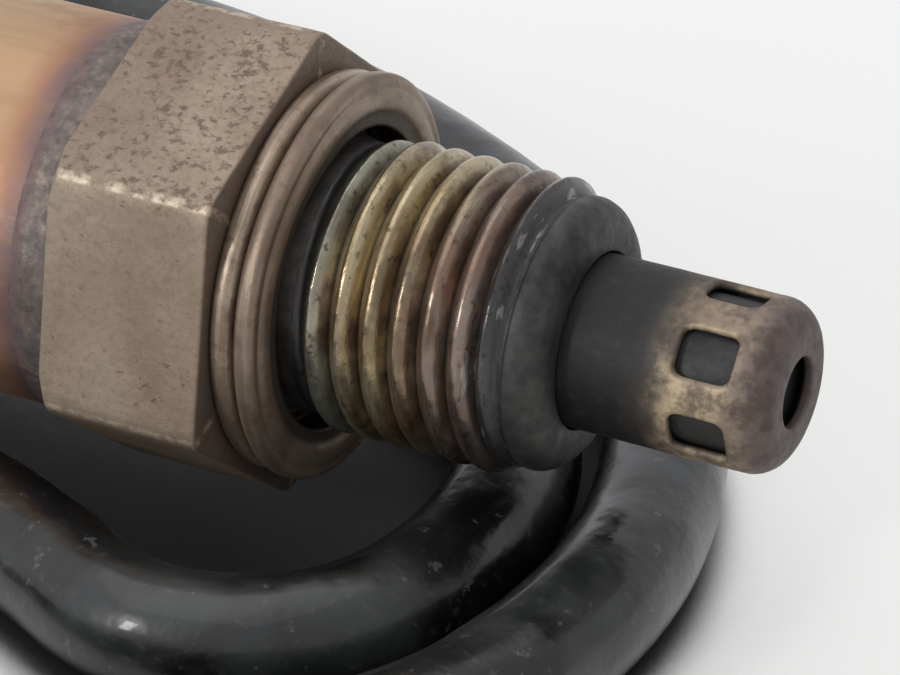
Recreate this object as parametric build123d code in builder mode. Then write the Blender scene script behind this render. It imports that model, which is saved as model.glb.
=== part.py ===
"""Exhaust oxygen sensor with an M12 threaded body, lying on its own looped cable.

X runs along the sensor's axis towards its tip and Z is up. The origin is on the axis, in the
front face of the hexagon, where the gasket seats. Lengths are in millimetres.
"""
from math import cos, pi, radians, sin, tan

from build123d import *

# Hexagon and the collar behind it
HEX_ACROSS_FLATS = 17.0
HEX_LENGTH = 6.95
HEX_ROLL = -9.9  # degrees from straight up to the nearest corner, towards -Y
HEX_CHAMFER_ANGLE = 30.0
HEX_CHAMFER_REACH = 0.35  # how far the rear chamfer cuts inside the corners' radius
COLLAR_STEP = 0.1  # of the collar's weld above the sleeve
COLLAR_LENGTH = 1.85
SPIGOT_LENGTH = 4.85  # behind the collar, inside the sleeve
SPIGOT_LEAD = 0.1

# Threaded stem
THREAD_MAJOR_R = 5.95
THREAD_START = 2.75
THREAD_LENGTH = 8.05
THREAD_CHAMFER = 0.55
RELIEF_DEPTH = 0.5
NOSE_LENGTH = 1.8
NOSE_TAPER = 0.31
NOSE_WALL = 0.38  # around the protectors' flanges

# Gasket, a washer folded three times from strip
GASKET_SHEET = 0.42
GASKET_PITCH = 0.55  # from one layer to the next
GASKET_BORE_GAP = 0.2  # around the thread
GASKET_FOLD_WIDTH = 0.6  # from the bore to the inner fold
GASKET_LIP_WIDTH = 0.35  # from the bore to the front layer's edge
GASKET_REAR_WIDTH = 1.91
GASKET_FRONT_WIDTH = 2.05
GASKET_BEND_GAP = 0.01

# Protector tubes
PROTECTOR_R = 3.45
PROTECTOR_WALL = 0.4
PROTECTOR_END_X = 21.05
PROTECTOR_END_RADIUS = 1.3
PROTECTOR_HOLE_R = 1.4
PROTECTOR_ROOT_RADIUS = 0.3
WINDOW_COUNT = 6
WINDOW_LENGTH = 2.3
WINDOW_WIDTH = 2.0
WINDOW_CORNER_R = 0.45
WINDOW_SETBACK = 2.75  # from the window's centre to the protector's end
WINDOW_ROLL = 48.5  # degrees, from straight up towards -Y
PROTECTOR_GAP = 0.25  # between the two tubes
INNER_PROTECTOR_WALL = 0.3
INNER_END_SETBACK = 0.85  # from its end to the outer protector's end
INNER_END_RADIUS = 0.8
INNER_ROOT_RADIUS = 0.2
INNER_HOLE_R = 0.5
INNER_HOLE_SETBACK = 5.6
FLANGE_WIDTH = 1.23  # of both protectors' flanges beyond the outer tube
FLANGE_LIP = 0.55
FLANGE_LIP_REACH = 0.92  # of the nose's front lip over the flange
FIT = 0.05

# Sensing element and its packing
ELEMENT_WIDTH = 3.6
ELEMENT_THICKNESS = 1.3
ELEMENT_TIP_GAP = 1.1  # from the element's tip to the inner protector's end
ELEMENT_CHAMFER = 0.2
ELEMENT_SETBACK = 5.9  # from the contact holder's rear to the element's rear
FRONT_BORE_R = 3.4
MAIN_BORE_R = 4.5
REAR_BORE_R = 5.6
MAIN_BORE_FRONT_X = 3.5
REAR_BORE_FRONT_X = -6.0
TALC_FRONT_X = -1.0
TALC_REAR_X = -4.8
FRONT_CERAMIC_NOSE = 3.0
PRESS_RING_LENGTH = 1.5
PRESS_RING_BORE_R = 3.2
CRIMP_LIP = 0.75
CRIMP_LIP_REACH = 0.9

# Rear sleeve
SLEEVE_R = 7.95
SLEEVE_WALL = 0.5
SLEEVE_BODY_LENGTH = 17.2
SLEEVE_SHOULDER_LENGTH = 2.0
SLEEVE_SHOULDER_RADIUS = 0.9
SLEEVE_NECK_LENGTH = 16.0
SLEEVE_NECK_STEP = 1.35
CRIMP_GROOVES = (7.0, 12.0)  # from the neck's front to each groove's centre
CRIMP_GROOVE_WIDTH = 2.4
CRIMP_GROOVE_DEPTH = 0.55

# Contact holder, contacts and grommet
HOLDER_GAP = 0.55  # inside the sleeve's neck
HOLDER_LENGTH = 13.0
HOLDER_FRONT_WALL = 1.0
HOLDER_REACH = 0.5  # of its rear end into the neck
HOLDER_CAVITY = 4.8
HOLDER_CAVITY_CORNER_R = 0.5
WIRE_R = 0.8
WIRE_SPREAD = 1.2  # of each wire's centre from the axis, both ways
BARREL_R = 1.06
BARREL_LENGTH = 3.9
CONTACT_THICKNESS = 0.25
CONTACT_WIDTH = 1.1
CONTACT_OVERLAP = 1.2  # of the leaf's root on the barrel
CONTACT_FLAT = 1.6  # from the barrel to the leaf's first bend
CONTACT_SLOPE = 3.4  # from there to where the leaf touches the element
CONTACT_TAIL = 2.4
CONTACT_TAIL_RISE = 0.8
CONTACT_BEND_R = 0.8
WIRE_END_GAP = 1.4  # from the wire's end to the barrel's front
SPRING_WALL = 0.3
SPRING_LENGTH = 4.0
SPRING_SETBACK = 2.4  # from the holder's front
SPRING_FINS = 6
SPRING_FIN_WIDTH = 2.2
SPRING_FIN_FLAT = 0.6
SPRING_FIN_ROOT = 1.0
GROMMET_BOSS_LENGTH = 2.0
GROMMET_BOSS_STEP = 1.1
GROMMET_CHAMFER = 0.4

# Places along the sensor's axis, from the hexagon's front face backwards
COLLAR_REAR_X = -HEX_LENGTH - COLLAR_LENGTH
SPIGOT_REAR_X = COLLAR_REAR_X - SPIGOT_LENGTH
PRESS_RING_REAR_X = SPIGOT_REAR_X + CRIMP_LIP
REAR_CERAMIC_REAR_X = PRESS_RING_REAR_X + PRESS_RING_LENGTH
SLEEVE_SHOULDER_X = COLLAR_REAR_X - SLEEVE_BODY_LENGTH
NECK_FRONT_X = SLEEVE_SHOULDER_X - SLEEVE_SHOULDER_LENGTH
SLEEVE_REAR_X = NECK_FRONT_X - SLEEVE_NECK_LENGTH
HOLDER_REAR_X = NECK_FRONT_X - HOLDER_REACH
HOLDER_FRONT_X = HOLDER_REAR_X + HOLDER_LENGTH
ELEMENT_REAR_X = HOLDER_REAR_X + ELEMENT_SETBACK
GROMMET_REAR_X = SLEEVE_REAR_X - GROMMET_BOSS_LENGTH

# Cable: a smooth sleeve over four wires
CABLE_DIAMETER = 5.4
MATE_ROOM = 0.9  # between the thread and the strands under it, for what it screws into
STANDING_HEIGHT = THREAD_MAJOR_R + MATE_ROOM + CABLE_DIAMETER
LYING = CABLE_DIAMETER / 2 - STANDING_HEIGHT
CONNECTOR_Y = -19.2
CONNECTOR_HALF_HEIGHT = 7.0
CONNECTOR_Z = CONNECTOR_HALF_HEIGHT - STANDING_HEIGHT
CABLE_END_X = -76.0
CABLE_ROUTE = [
    (GROMMET_REAR_X, 0, 0),
    (-58, 0, 0),
    (-74, 0, -1.2),
    (-95.6, 0.2, -4.4),
    (-105, 6.9, -6.9),
    (-108.8, 17.8, -8.8),
    (-105, 28.7, LYING),
    (-95.2, 35.3, LYING),
    (-72, 35.2, LYING),
    (-50, 33.7, LYING),
    (-29, 30.9, LYING),
    (-13.8, 28.2, LYING),
    (-1.6, 22.8, LYING),
    (8.2, 15.6, LYING),
    (13.3, 7.3, LYING),
    (15.1, -4.2, LYING),
    (11.5, -17.2, LYING),
    (-1.6, -24.2, LYING),
    (-15.4, -23.6, LYING),
    (-28.5, -22.3, LYING),
    (-40.5, -21.9, LYING),
    (-53.6, -20.2, LYING),
    (-63.8, -9.9, LYING),
    (-63.6, 6, LYING),
    (-53, 17.4, LYING),
    (-38, 17.4, LYING),
    (-28, 15, LYING),
    (-17.5, 14.8, LYING),
    (-7.8, 13.9, LYING),
    (1, 11.5, LYING),
    (6.9, 6.2, LYING),
    (8.9, -2, LYING),
    (6.9, -10.3, LYING),
    (-0.2, -13.6, LYING),
    (-7.4, -9.6, LYING),
    (-15, -7.2, LYING),
    (-23, -7.9, LYING + 0.8),
    (-33.5, -10.2, LYING + 3.9),
    (-44.5, -13.6, LYING + 6.6),
    (-56, -17.4, LYING + 6.6),
    (-66.2, CONNECTOR_Y, CONNECTOR_Z),
    (CABLE_END_X, CONNECTOR_Y, CONNECTOR_Z),
]

# Connector at the cable's end. Its own lengths run from the cable's end away from the sensor.
CAP_WALL = 0.4
CAP_LENGTH = 4.0
WIRE_STRAIGHT_LENGTH = 1.0
WIRE_FAN_LENGTH = 4.5
WIRE_BEND_R = 3.0
CAVITY_PITCH_Y = 4.6
CAVITY_PITCH_Z = 4.8
CAVITY_SIZE = 1.9
BACK_OFFSET = 11.0  # from the cable's end to the housing's back
BACK_LENGTH = 11.0
BACK_SIZE = (12.6, 12.0)
RIM_LENGTH = 2.0
RIM_SIZE = (15.0, 2 * CONNECTOR_HALF_HEIGHT)
BLOCK_LENGTH = 12.0
BLOCK_SIZE = (10.6, 9.0)
HOUSING_CORNER_R = 1.6
WIRE_SEAL_R = 1.75
WIRE_SEAL_LENGTH = 4.6
WIRE_SEAL_RIBS = 3
WIRE_SEAL_RIB_DEPTH = 0.35
LATCH_WIDTH = 4.4
LATCH_THICKNESS = 1.1
LATCH_RISE = 1.3
LATCH_ROOT_LENGTH = 1.6  # of the post that carries the latch, in front of the rim
LATCH_SETBACK = 1.5  # from the housing's back to the end of the latch's tail
LATCH_REACH = 6.0  # from the rim to the catch
LATCH_CATCH = 0.5  # length of the catch's flat top
LATCH_RAMP = 2.5
LATCH_CATCH_DEPTH = 0.4
FACE_SEAL_THICKNESS = 0.9
FACE_SEAL_WIDTH = 3.2
FACE_SEAL_ROUND = 0.3
LOCK_CAP = 1.4
LOCK_CHAMFER = 0.4
LOCK_HOLE_STEP = 0.7  # of each hole within its terminal
TERMINAL_SIZE = 1.6
TERMINAL_WALL = 0.25
TERMINAL_LENGTH = 9.0

# Radii and places that follow from the sizes above
HEX_CORNER_R = HEX_ACROSS_FLATS / 2 / cos(radians(30))
SLEEVE_INNER_R = SLEEVE_R - SLEEVE_WALL
SLEEVE_NECK_R = SLEEVE_R - SLEEVE_NECK_STEP
NECK_INNER_R = SLEEVE_NECK_R - SLEEVE_WALL
HOLDER_R = NECK_INNER_R - HOLDER_GAP
COLLAR_R = SLEEVE_R + COLLAR_STEP
RELIEF_R = THREAD_MAJOR_R - RELIEF_DEPTH
FLANGE_R = PROTECTOR_R + FLANGE_WIDTH
FLANGE_LIP_R = FLANGE_R - FLANGE_LIP_REACH
NOSE_FACE_R = FLANGE_R + NOSE_WALL
NOSE_ROOT_R = NOSE_FACE_R + NOSE_TAPER
INNER_PROTECTOR_R = PROTECTOR_R - PROTECTOR_WALL - PROTECTOR_GAP
CRIMP_LIP_R = REAR_BORE_R - CRIMP_LIP_REACH
GROMMET_BOSS_R = SLEEVE_NECK_R - GROMMET_BOSS_STEP
THREAD_END = THREAD_START + THREAD_LENGTH
NOSE_END = THREAD_END + NOSE_LENGTH
FLANGE_FRONT_X = NOSE_END - FLANGE_LIP - FIT
FLANGE_SEAT_X = FLANGE_FRONT_X - PROTECTOR_WALL - INNER_PROTECTOR_WALL
WINDOW_X = PROTECTOR_END_X - WINDOW_SETBACK
INNER_END_X = PROTECTOR_END_X - INNER_END_SETBACK
ELEMENT_TIP_X = INNER_END_X - ELEMENT_TIP_GAP
SLOT_SIZE = (ELEMENT_WIDTH + 2 * FIT, ELEMENT_THICKNESS + 2 * FIT)
WIRE_SIGNS = [(y, z) for y in (-1, 1) for z in (-1, 1)]
WIRE_SPOTS = [(y * WIRE_SPREAD, z * WIRE_SPREAD) for y, z in WIRE_SIGNS]


def along_axis(x):
    """A plane square to the sensor's axis at x, facing the tip, with its own x along +Y."""
    return Plane(origin=(x, 0, 0), x_dir=(0, 1, 0), z_dir=(1, 0, 0))


def through_axis(roll):
    """A plane through the axis whose own x is the axis and whose own y is the radius at roll."""
    a = radians(roll)
    return Plane(origin=(0, 0, 0), x_dir=(1, 0, 0), z_dir=(0, -cos(a), -sin(a)))


def facing_out(x, roll):
    """A plane through the axis at x that faces outwards along the radius at roll."""
    a = radians(roll)
    return Plane(origin=(x, 0, 0), x_dir=(1, 0, 0), z_dir=(0, -sin(a), cos(a)))


def outline(points):
    """A closed face through (x, radius) points, for revolving about the sensor's axis."""
    with BuildSketch(Plane.XZ) as profile:
        with BuildLine():
            Polyline(*points, close=True)
        make_face()
    return profile.sketch


def save(part, name):
    part.label = name
    export_step(part, f"parts/{name}.step")


# Hexagonal shell with the threaded stem, bored through for the element and its packing
with BuildPart() as hex_shell:
    with BuildSketch(along_axis(-HEX_LENGTH)):
        RegularPolygon(HEX_ACROSS_FLATS / 2, 6, major_radius=False, rotation=90 - HEX_ROLL)
    extrude(amount=HEX_LENGTH)
    chamfer_end_r = HEX_CORNER_R + HEX_LENGTH / tan(radians(HEX_CHAMFER_ANGLE))
    chamfer_cone = outline([
        (-HEX_LENGTH, 0),
        (-HEX_LENGTH, HEX_CORNER_R - HEX_CHAMFER_REACH / tan(radians(HEX_CHAMFER_ANGLE))),
        (0, chamfer_end_r),
        (0, 0),
    ])
    revolve(chamfer_cone, axis=Axis.X, mode=Mode.INTERSECT)
    turned_body = outline([
        (SPIGOT_REAR_X, 0),
        (SPIGOT_REAR_X, SLEEVE_INNER_R - FIT - SPIGOT_LEAD),
        (SPIGOT_REAR_X + SPIGOT_LEAD, SLEEVE_INNER_R - FIT),
        (COLLAR_REAR_X, SLEEVE_INNER_R - FIT),
        (COLLAR_REAR_X, COLLAR_R),
        (-HEX_LENGTH, COLLAR_R),
        (-HEX_LENGTH, RELIEF_R),
        (THREAD_START - THREAD_CHAMFER, RELIEF_R),
        (THREAD_START, THREAD_MAJOR_R),
        (THREAD_END - THREAD_CHAMFER, THREAD_MAJOR_R),
        (THREAD_END, NOSE_ROOT_R),
        (NOSE_END, NOSE_FACE_R),
        (NOSE_END, 0),
    ])
    revolve(turned_body, axis=Axis.X)
    stepped_bore = outline([
        (NOSE_END + 1, 0),
        (NOSE_END + 1, FLANGE_LIP_R),
        (FLANGE_FRONT_X, FLANGE_LIP_R),
        (FLANGE_FRONT_X, FLANGE_R + FIT),
        (FLANGE_SEAT_X, FLANGE_R + FIT),
        (FLANGE_SEAT_X, FRONT_BORE_R),
        (MAIN_BORE_FRONT_X + MAIN_BORE_R - FRONT_BORE_R, FRONT_BORE_R),
        (MAIN_BORE_FRONT_X, MAIN_BORE_R),
        (REAR_BORE_FRONT_X, MAIN_BORE_R),
        (REAR_BORE_FRONT_X, REAR_BORE_R),
        (PRESS_RING_REAR_X, REAR_BORE_R),
        (PRESS_RING_REAR_X, CRIMP_LIP_R),
        (SPIGOT_REAR_X - 1, CRIMP_LIP_R),
        (SPIGOT_REAR_X - 1, 0),
    ])
    revolve(stepped_bore, axis=Axis.X, mode=Mode.SUBTRACT)
save(hex_shell.part, "hex_shell")

# Gasket: one strip folded into four layers, with two rounded folds outside and one inside
gasket_layers = [GASKET_SHEET / 2 + i * GASKET_PITCH for i in range(4)]
gasket_bore_r = THREAD_MAJOR_R + GASKET_BORE_GAP
rear_fold_r = gasket_bore_r + GASKET_REAR_WIDTH - GASKET_SHEET / 2
front_fold_r = gasket_bore_r + GASKET_FRONT_WIDTH - GASKET_SHEET / 2
inner_fold_r = gasket_bore_r + GASKET_FOLD_WIDTH + GASKET_SHEET / 2
with BuildPart() as seat_gasket:
    with BuildSketch(Plane.XZ):
        with BuildLine():
            FilletPolyline(
                (gasket_layers[0], gasket_bore_r),
                (gasket_layers[0], rear_fold_r),
                (gasket_layers[1], rear_fold_r),
                (gasket_layers[1], inner_fold_r),
                (gasket_layers[2], inner_fold_r),
                (gasket_layers[2], front_fold_r),
                (gasket_layers[3], front_fold_r),
                (gasket_layers[3], gasket_bore_r + GASKET_LIP_WIDTH),
                radius=GASKET_PITCH / 2 - GASKET_BEND_GAP,
            )
        trace(line_width=GASKET_SHEET)
    revolve(axis=Axis.X)
save(seat_gasket.part, "seat_gasket")


def protector(outer_r, wall, end_x, end_radius, hole_r, flange_x, root_radius):
    """The section of a deep-drawn tube with a flange at its root and a rounded, pierced end."""
    inner_r = outer_r - wall
    bend = end_radius - wall
    with BuildSketch(Plane.XZ) as section_face:
        with BuildLine():
            Line((end_x, hole_r), (end_x, outer_r - end_radius))
            RadiusArc((end_x, outer_r - end_radius), (end_x - end_radius, outer_r), -end_radius)
            Line((end_x - end_radius, outer_r), (flange_x + root_radius, outer_r))
            RadiusArc((flange_x + root_radius, outer_r), (flange_x, outer_r + root_radius), root_radius)
            Line((flange_x, outer_r + root_radius), (flange_x, FLANGE_R))
            Line((flange_x, FLANGE_R), (flange_x - wall, FLANGE_R))
            Line((flange_x - wall, FLANGE_R), (flange_x - wall, inner_r))
            Line((flange_x - wall, inner_r), (end_x - end_radius, inner_r))
            RadiusArc((end_x - end_radius, inner_r), (end_x - wall, inner_r - bend), bend)
            Line((end_x - wall, inner_r - bend), (end_x - wall, hole_r))
            Line((end_x - wall, hole_r), (end_x, hole_r))
        make_face()
    return section_face.sketch


# Outer protector: six windows near its end and one hole in the end itself
with BuildPart() as outer_protector:
    outer_section = protector(
        PROTECTOR_R, PROTECTOR_WALL, PROTECTOR_END_X, PROTECTOR_END_RADIUS,
        PROTECTOR_HOLE_R, FLANGE_FRONT_X, PROTECTOR_ROOT_RADIUS,
    )
    revolve(outer_section, axis=Axis.X)
    for i in range(WINDOW_COUNT):
        with BuildSketch(facing_out(WINDOW_X, WINDOW_ROLL + i * 360 / WINDOW_COUNT)):
            RectangleRounded(WINDOW_LENGTH, WINDOW_WIDTH, WINDOW_CORNER_R)
        extrude(amount=PROTECTOR_R + 1, mode=Mode.SUBTRACT)
save(outer_protector.part, "outer_protector")

# Inner protector: gas enters at its root and leaves through its end
with BuildPart() as inner_protector:
    inner_section = protector(
        INNER_PROTECTOR_R, INNER_PROTECTOR_WALL, INNER_END_X, INNER_END_RADIUS,
        INNER_HOLE_R, FLANGE_FRONT_X - PROTECTOR_WALL, INNER_ROOT_RADIUS,
    )
    revolve(inner_section, axis=Axis.X)
    for i in range(WINDOW_COUNT):
        with BuildSketch(facing_out(INNER_END_X - INNER_HOLE_SETBACK, (i + 0.5) * 360 / WINDOW_COUNT)):
            Circle(INNER_HOLE_R)
        extrude(amount=INNER_PROTECTOR_R + 1, mode=Mode.SUBTRACT)
save(inner_protector.part, "inner_protector")

# Sensing element: a flat ceramic strip from the tip to the contacts
with BuildPart() as sensing_element:
    with BuildSketch(along_axis(ELEMENT_REAR_X)):
        Rectangle(ELEMENT_WIDTH, ELEMENT_THICKNESS)
    extrude(amount=ELEMENT_TIP_X - ELEMENT_REAR_X)
    chamfer(sensing_element.faces().sort_by(Axis.X)[-1].edges(), ELEMENT_CHAMFER)
save(sensing_element.part, "sensing_element")


def element_slot(x):
    """The outline, at x, of the slot that the element passes through."""
    with BuildSketch(along_axis(x)) as slot:
        Rectangle(*SLOT_SIZE)
    return slot.sketch


# Packing of the element: ceramic, pressed talc, ceramic, and the ring that the shell's lip holds
ceramic_nose_x = MAIN_BORE_FRONT_X + FRONT_CERAMIC_NOSE
with BuildPart() as front_ceramic:
    front_ceramic_face = outline([
        (TALC_FRONT_X, 0),
        (TALC_FRONT_X, MAIN_BORE_R - FIT),
        (MAIN_BORE_FRONT_X, MAIN_BORE_R - FIT),
        (MAIN_BORE_FRONT_X + MAIN_BORE_R - FRONT_BORE_R, FRONT_BORE_R - FIT),
        (ceramic_nose_x, FRONT_BORE_R - FIT),
        (ceramic_nose_x, 0),
    ])
    revolve(front_ceramic_face, axis=Axis.X)
    extrude(element_slot(TALC_FRONT_X), amount=ceramic_nose_x - TALC_FRONT_X, mode=Mode.SUBTRACT)
save(front_ceramic.part, "front_ceramic")

with BuildPart() as talc_ring:
    with BuildSketch(along_axis(TALC_REAR_X)):
        Circle(MAIN_BORE_R - FIT)
        Rectangle(*SLOT_SIZE, mode=Mode.SUBTRACT)
    extrude(amount=TALC_FRONT_X - TALC_REAR_X)
save(talc_ring.part, "talc_ring")

with BuildPart() as rear_ceramic:
    rear_ceramic_face = outline([
        (REAR_CERAMIC_REAR_X, 0),
        (REAR_CERAMIC_REAR_X, REAR_BORE_R - FIT),
        (REAR_BORE_FRONT_X - FIT, REAR_BORE_R - FIT),
        (REAR_BORE_FRONT_X - FIT, MAIN_BORE_R - FIT),
        (TALC_REAR_X, MAIN_BORE_R - FIT),
        (TALC_REAR_X, 0),
    ])
    revolve(rear_ceramic_face, axis=Axis.X)
    rear_ceramic_length = TALC_REAR_X - REAR_CERAMIC_REAR_X
    extrude(element_slot(REAR_CERAMIC_REAR_X), amount=rear_ceramic_length, mode=Mode.SUBTRACT)
save(rear_ceramic.part, "rear_ceramic")

with BuildPart() as press_ring:
    with BuildSketch(along_axis(PRESS_RING_REAR_X)):
        Circle(REAR_BORE_R - FIT)
        Circle(PRESS_RING_BORE_R, mode=Mode.SUBTRACT)
    extrude(amount=PRESS_RING_LENGTH)
save(press_ring.part, "press_ring")


def grooved(radius, x_from, x_to):
    """Points of a wall at radius from x_from back to x_to, with the crimped grooves in it."""
    points = [(x_from, radius)]
    half = CRIMP_GROOVE_WIDTH / 2
    for x in [NECK_FRONT_X - distance for distance in CRIMP_GROOVES]:
        points += [
            (x + half, radius),
            (x + half - CRIMP_GROOVE_DEPTH, radius - CRIMP_GROOVE_DEPTH),
            (x - half + CRIMP_GROOVE_DEPTH, radius - CRIMP_GROOVE_DEPTH),
            (x - half, radius),
        ]
    return points + [(x_to, radius)]


# Rear sleeve: a drawn tube welded to the shell and crimped on the grommet
with BuildPart() as rear_sleeve:
    sleeve_wall = outline(
        [(COLLAR_REAR_X, SLEEVE_R), (SLEEVE_SHOULDER_X, SLEEVE_R)]
        + grooved(SLEEVE_NECK_R, NECK_FRONT_X, SLEEVE_REAR_X)
        + grooved(NECK_INNER_R, NECK_FRONT_X + SLEEVE_WALL / 2, SLEEVE_REAR_X)[::-1]
        + [(SLEEVE_SHOULDER_X + SLEEVE_WALL / 2, SLEEVE_INNER_R), (COLLAR_REAR_X, SLEEVE_INNER_R)]
    )
    revolve(sleeve_wall, axis=Axis.X)
    shoulder_edge = rear_sleeve.edges().filter_by(GeomType.CIRCLE).filter_by(
        lambda e: abs(e.radius - SLEEVE_R) < FIT and abs(e.center().X - SLEEVE_SHOULDER_X) < FIT
    )
    fillet(shoulder_edge, SLEEVE_SHOULDER_RADIUS)
save(rear_sleeve.part, "rear_sleeve")

# Contact holder: a ceramic block around the element's rear end and the four contacts
with BuildPart() as contact_holder:
    with BuildSketch(along_axis(HOLDER_REAR_X)):
        Circle(HOLDER_R)
    extrude(amount=HOLDER_FRONT_X - HOLDER_REAR_X)
    with BuildSketch(along_axis(HOLDER_REAR_X)):
        RectangleRounded(HOLDER_CAVITY, HOLDER_CAVITY, HOLDER_CAVITY_CORNER_R)
    extrude(amount=HOLDER_FRONT_X - HOLDER_FRONT_WALL - HOLDER_REAR_X, mode=Mode.SUBTRACT)
    front_slot = element_slot(HOLDER_FRONT_X - HOLDER_FRONT_WALL)
    extrude(front_slot, amount=HOLDER_FRONT_WALL, mode=Mode.SUBTRACT)
save(contact_holder.part, "contact_holder")

# Contacts: each is a crimped barrel with a leaf that presses on the element's face
barrel_rear_x = HOLDER_REAR_X + FIT
barrel_front_x = barrel_rear_x + BARREL_LENGTH
leaf_root_z = WIRE_SPREAD + WIRE_R + CONTACT_THICKNESS / 2
leaf_touch_z = (ELEMENT_THICKNESS + CONTACT_THICKNESS) / 2
leaf_bend_x = barrel_front_x + CONTACT_FLAT
leaf_touch_x = leaf_bend_x + CONTACT_SLOPE
with BuildPart() as contact_terminals:
    for y, z in WIRE_SPOTS:
        side = 1 if z > 0 else -1
        with BuildSketch(Plane(origin=(barrel_rear_x, y, z), x_dir=(0, 1, 0), z_dir=(1, 0, 0))):
            Circle(BARREL_R)
            Circle(WIRE_R + FIT / 2, mode=Mode.SUBTRACT)
        extrude(amount=BARREL_LENGTH)
        leaf_plane = Plane(origin=(0, y + CONTACT_WIDTH / 2, 0), x_dir=(1, 0, 0), z_dir=(0, -1, 0))
        with BuildSketch(leaf_plane):
            with BuildLine():
                FilletPolyline(
                    (barrel_front_x - CONTACT_OVERLAP, side * leaf_root_z),
                    (leaf_bend_x, side * leaf_root_z),
                    (leaf_touch_x, side * leaf_touch_z),
                    (leaf_touch_x + CONTACT_TAIL, side * (leaf_touch_z + CONTACT_TAIL_RISE)),
                    radius=CONTACT_BEND_R,
                )
            trace(line_width=CONTACT_THICKNESS)
        extrude(amount=CONTACT_WIDTH)
save(contact_terminals.part, "contact_terminals")

# Spring ring: centres the holder in the sleeve with fins that stand out from a thin band
spring_front_x = HOLDER_FRONT_X - SPRING_SETBACK
spring_rear_x = spring_front_x - SPRING_LENGTH
spring_outer_r = HOLDER_R + FIT + SPRING_WALL
fin_root_r = spring_outer_r - SPRING_WALL / 2
fin_top = ((SLEEVE_INNER_R - FIT) ** 2 - (SPRING_FIN_WIDTH / 2) ** 2) ** 0.5
with BuildPart() as holder_spring:
    with BuildSketch(along_axis(spring_rear_x)):
        Circle(spring_outer_r)
        Circle(HOLDER_R + FIT, mode=Mode.SUBTRACT)
    extrude(amount=SPRING_LENGTH)
    for i in range(SPRING_FINS):
        with BuildSketch(through_axis(i * 360 / SPRING_FINS)):
            with BuildLine():
                Polyline(
                    (spring_front_x, fin_root_r),
                    (spring_rear_x + SPRING_FIN_FLAT, fin_top),
                    (spring_rear_x, fin_top),
                    (spring_rear_x, fin_top - SPRING_WALL),
                    (spring_rear_x + SPRING_FIN_FLAT, fin_top - SPRING_WALL),
                    (spring_front_x - SPRING_FIN_ROOT, fin_root_r),
                    close=True,
                )
            make_face()
        extrude(amount=SPRING_FIN_WIDTH / 2, both=True)
save(holder_spring.part, "holder_spring")

# Grommet: rubber plug that the sleeve's neck is crimped on, with a boss behind it
with BuildPart() as grommet:
    grommet_front_x = HOLDER_REAR_X - FIT
    grommet_face = outline(
        [(grommet_front_x, 0)]
        + grooved(NECK_INNER_R - FIT, grommet_front_x, SLEEVE_REAR_X - FIT)
        + [
            (SLEEVE_REAR_X - FIT, GROMMET_BOSS_R),
            (GROMMET_REAR_X + GROMMET_CHAMFER, GROMMET_BOSS_R),
            (GROMMET_REAR_X, GROMMET_BOSS_R - GROMMET_CHAMFER),
            (GROMMET_REAR_X, 0),
        ]
    )
    revolve(grommet_face, axis=Axis.X)
    with BuildSketch(along_axis(GROMMET_REAR_X)):
        with Locations(*WIRE_SPOTS):
            Circle(WIRE_R + FIT / 2)
    extrude(amount=grommet_front_x - GROMMET_REAR_X, mode=Mode.SUBTRACT)
save(grommet.part, "grommet")

# Wires inside the sensor, from the cable's mouth to the crimped barrels
with BuildPart() as sensor_wires:
    with BuildSketch(along_axis(GROMMET_REAR_X)):
        with Locations(*WIRE_SPOTS):
            Circle(WIRE_R)
    extrude(amount=barrel_front_x - WIRE_END_GAP - GROMMET_REAR_X)
save(sensor_wires.part, "sensor_wires")


def bend_radii(points):
    """The largest arc that fits each corner of the route, and the turn there in degrees."""
    corners = [Vector(p) for p in points]
    found = []
    for before, at, after in zip(corners, corners[1:], corners[2:]):
        turn = (at - before).get_angle(after - at)
        shorter = min((at - before).length, (after - at).length)
        found.append((0.45 * shorter / tan(radians(turn) / 2), turn))
    return found


# Cable: a round sleeve that leaves the grommet, loops twice about the sensor and ends in a connector
bends = bend_radii(CABLE_ROUTE)
with BuildPart() as cable:
    with BuildLine():
        cable_path = FilletPolyline(*CABLE_ROUTE, radius=[radius for radius, _ in bends])
    with BuildSketch(Plane(origin=CABLE_ROUTE[0], z_dir=cable_path % 0)):
        Circle(CABLE_DIAMETER / 2)
    sweep()
save(cable.part, "cable")
cable_length = cable_path.length
print("cable bends, radius in mm at turn in degrees:", [(round(r, 1), round(t)) for r, t in bends])
print(f"cable length {cable_length:.1f}, volume {cable.part.volume:.1f},",
      f"section times length {pi * CABLE_DIAMETER ** 2 / 4 * cable_length:.1f}")

# Places along the connector, from the cable's end
CAP_X = CABLE_END_X - CAP_LENGTH
WIRE_FAN_X = CAP_X - WIRE_STRAIGHT_LENGTH
BACK_X = CABLE_END_X - BACK_OFFSET
RIM_X = BACK_X - BACK_LENGTH
BLOCK_X = RIM_X - RIM_LENGTH
BLOCK_END_X = BLOCK_X - BLOCK_LENGTH
SEAL_END_X = BACK_X - WIRE_SEAL_LENGTH
CAVITIES = [(y * CAVITY_PITCH_Y / 2, z * CAVITY_PITCH_Z / 2) for y, z in WIRE_SIGNS]


def across_connector(x):
    """A plane square to the connector's axis at x, facing away from the cable."""
    return Plane(origin=(x, CONNECTOR_Y, CONNECTOR_Z), x_dir=(0, 1, 0), z_dir=(-1, 0, 0))


def cavity_spots():
    """The four cavities' centres in a plane of across_connector, whose own y points down."""
    return [(y, -z) for y, z in CAVITIES]


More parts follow.
